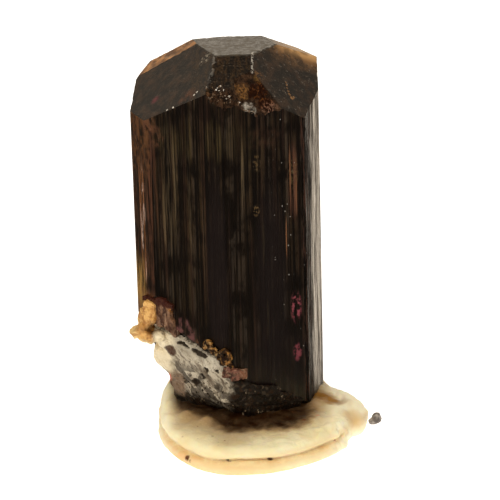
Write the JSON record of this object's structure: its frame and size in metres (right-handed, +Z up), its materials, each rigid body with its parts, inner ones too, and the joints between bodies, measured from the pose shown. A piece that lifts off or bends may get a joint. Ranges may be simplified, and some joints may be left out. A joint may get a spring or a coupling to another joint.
{
  "type": "tourmaline crystal specimen",
  "caption": "Dark striated tourmaline prism with sloping tip faces and a flat top, broken at the foot with white matrix, standing on a flattened putty pad.",
  "frame": {"origin": "on the putty's flat underside, straight below the crystal's axis", "axes": "+Z up along the crystal's length, the face with the broken tip and the matrix is at the front, towards -Y, +X to its right"},
  "size_m": [0.0247, 0.0282, 0.038],
  "materials": {
    "tourmaline": "glassy, striated, nearly black brown",
    "albite": "rough, pearly white with grey grains",
    "lepidolite": "soft pearly pink mica",
    "stained_feldspar": "dull, ochre stained",
    "rust": "waxy golden brown",
    "putty": "soft matte cream",
    "grit": "dull grey"
  },
  "bodies": {
    "root": {"tourmaline_crystal": "tourmaline", "albite_matrix": "albite", "lepidolite_patch": "lepidolite", "lepidolite_tab": "lepidolite", "stained_knob": "stained_feldspar", "rust_crust": "rust", "putty_mount": "putty", "grit_chip": "grit"}
  },
  "joints": []
}
